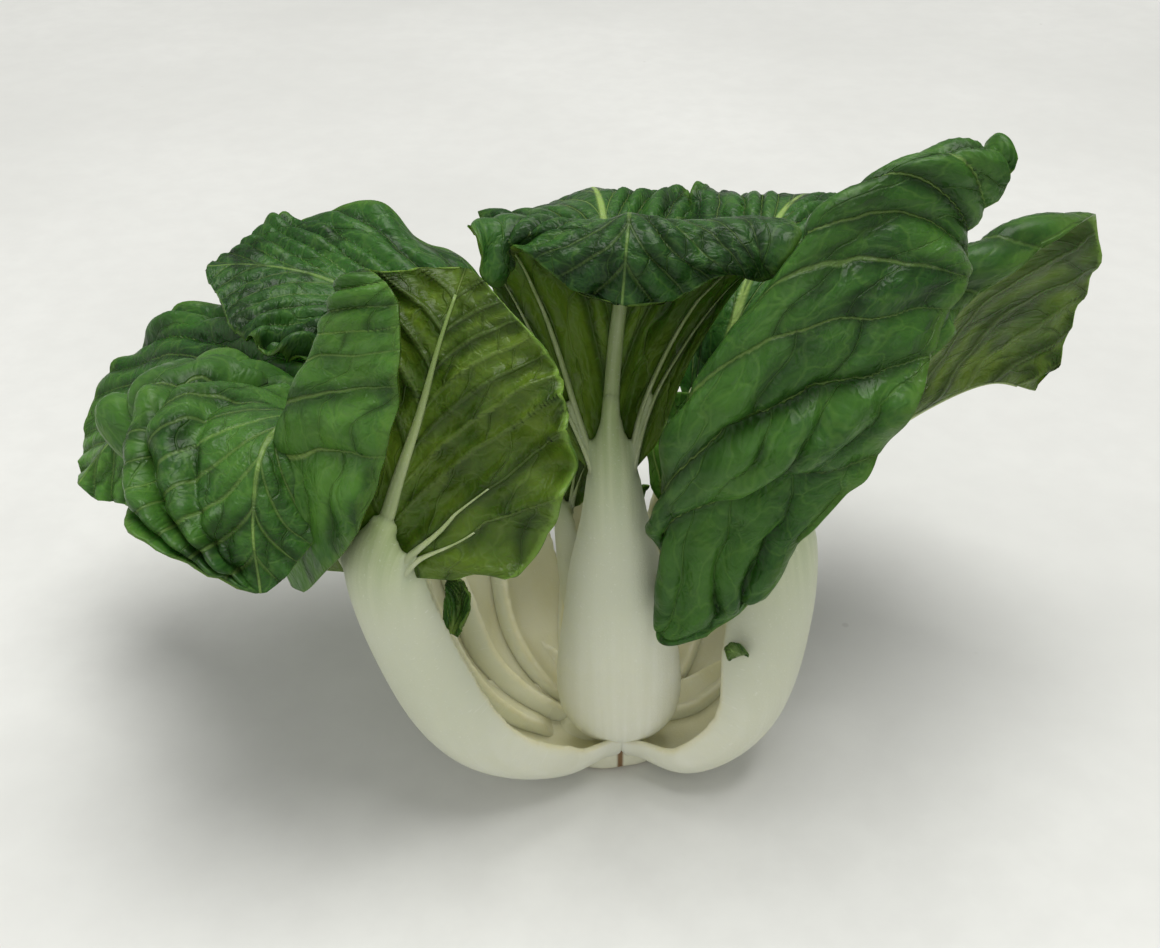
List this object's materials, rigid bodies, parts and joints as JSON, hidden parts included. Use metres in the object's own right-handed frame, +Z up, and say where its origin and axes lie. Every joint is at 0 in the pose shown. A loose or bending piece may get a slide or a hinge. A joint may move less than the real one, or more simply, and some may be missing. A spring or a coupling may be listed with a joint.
{
  "type": "bok choy head",
  "caption": "Head of bok choy standing on its cut root end: white channelled stalks fan into ribs under dark green crinkled leaves, the outer leaves folded and drooping.",
  "frame": {"origin": "centre of the flat bottom of the root end, on which the head stands", "axes": "+Z up, +X to the right as seen from the front leaf, +Y from the front leaf to the back leaves"},
  "size_m": [0.3414, 0.1928, 0.2056],
  "materials": {
    "crown": "matt, cut",
    "stalk": "smooth, satin",
    "blade": "waxy, crinkled",
    "young_blade": "waxy"
  },
  "bodies": {
    "root": {"crown": "crown", "stalk_outer_left": "stalk", "blade_outer_left": "blade", "stalk_outer_right": "stalk", "blade_outer_right": "blade", "stalk_rolled_left": "stalk", "blade_rolled_left": "blade", "stalk_left": "stalk", "blade_left": "blade", "stalk_right_back": "stalk", "blade_right_back": "blade", "stalk_front": "stalk", "blade_front": "blade", "stalk_back_left": "stalk", "blade_back_left": "blade", "stalk_upper_left": "stalk", "blade_upper_left": "blade", "stalk_back_right": "stalk", "blade_back_right": "blade", "stalk_heart_left": "stalk", "blade_heart_left": "young_blade", "stalk_heart_right": "stalk", "blade_heart_right": "young_blade", "stalk_heart_middle": "stalk", "blade_heart_middle": "young_blade", "leaflet_left": "young_blade", "leaflet_right": "young_blade"}
  },
  "joints": []
}
